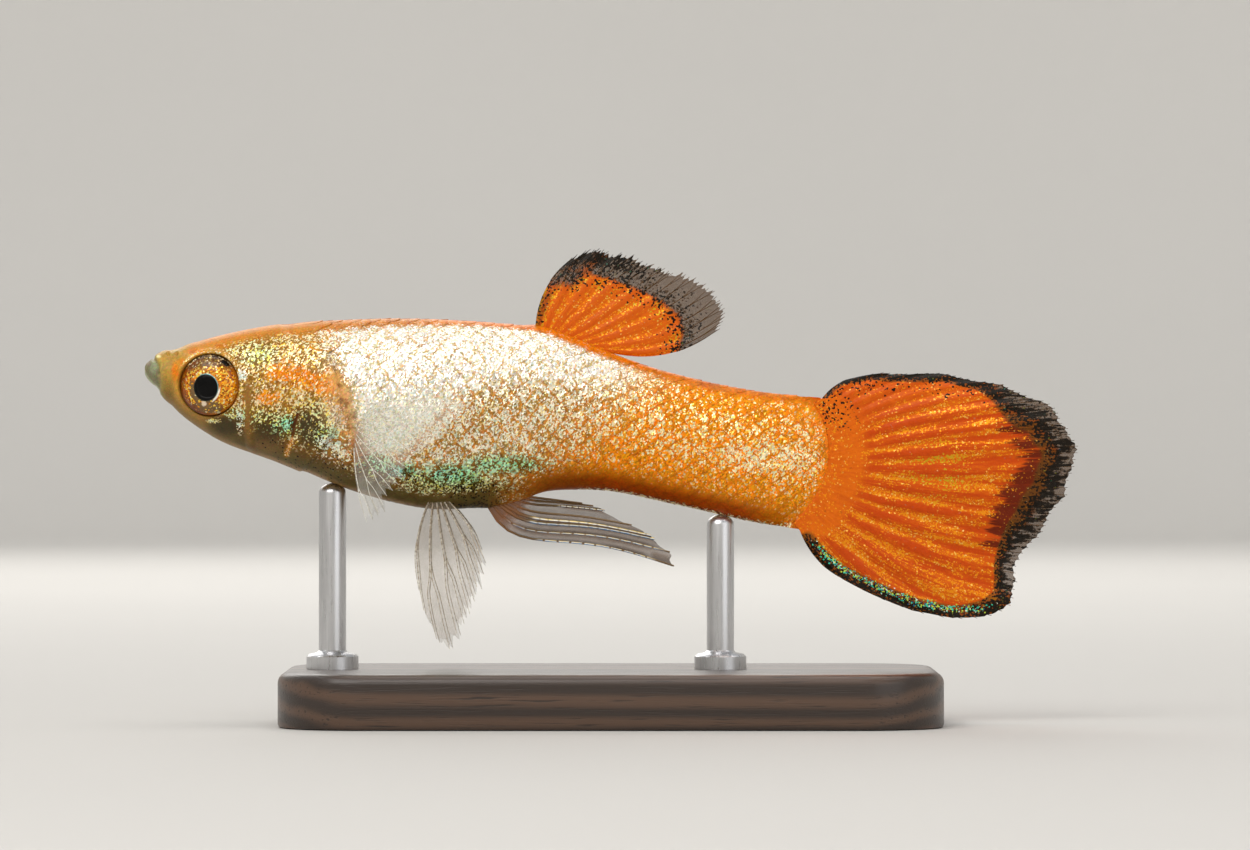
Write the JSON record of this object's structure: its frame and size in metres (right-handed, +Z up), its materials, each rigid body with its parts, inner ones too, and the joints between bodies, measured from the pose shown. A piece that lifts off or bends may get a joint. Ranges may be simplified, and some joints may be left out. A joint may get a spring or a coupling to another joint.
{
  "type": "male endler guppy display model",
  "caption": "Life-size male Endler guppy with a fan tail, arched dorsal fin and slim anal fin, held level above a flat base by thin rods.",
  "frame": {"origin": "on the floor, under the middle of the model's length and width", "axes": "+X from the snout towards the tail, +Y towards the fish's right side, +Z up"},
  "size_m": [0.034, 0.0124, 0.0177],
  "materials": {
    "head_skin": "wet glossy skin, gold and orange flecks over tan, clear at the snout",
    "flank_skin": "wet glossy scales with dense white, silver and pale gold glitter",
    "stem_skin": "wet glossy orange scales with pale yellow glitter",
    "eye": "polished, gold flecked iris and black pupil",
    "tail_fin": "satin orange membrane with paler rays and a ragged black rim",
    "dorsal_fin": "satin orange membrane, black and clear towards its edge",
    "anal_fin": "clear membrane with silvery blue rays",
    "clear_fin": "clear membrane with faint pale rays",
    "stand_wood": "dark stained and satin lacquered",
    "stand_steel": "satin"
  },
  "bodies": {
    "root": {"head": "head_skin", "torso": "flank_skin", "tail_stem": "stem_skin", "eye_left": "eye", "eye_right": "eye", "tail_fin": "tail_fin", "dorsal_fin": "dorsal_fin", "anal_fin": "anal_fin", "pelvic_fin_left": "clear_fin", "pelvic_fin_right": "clear_fin", "pectoral_fin_left": "clear_fin", "pectoral_fin_right": "clear_fin", "stand_base": "stand_wood", "stand_rod_front": "stand_steel", "stand_rod_rear": "stand_steel"}
  },
  "joints": []
}
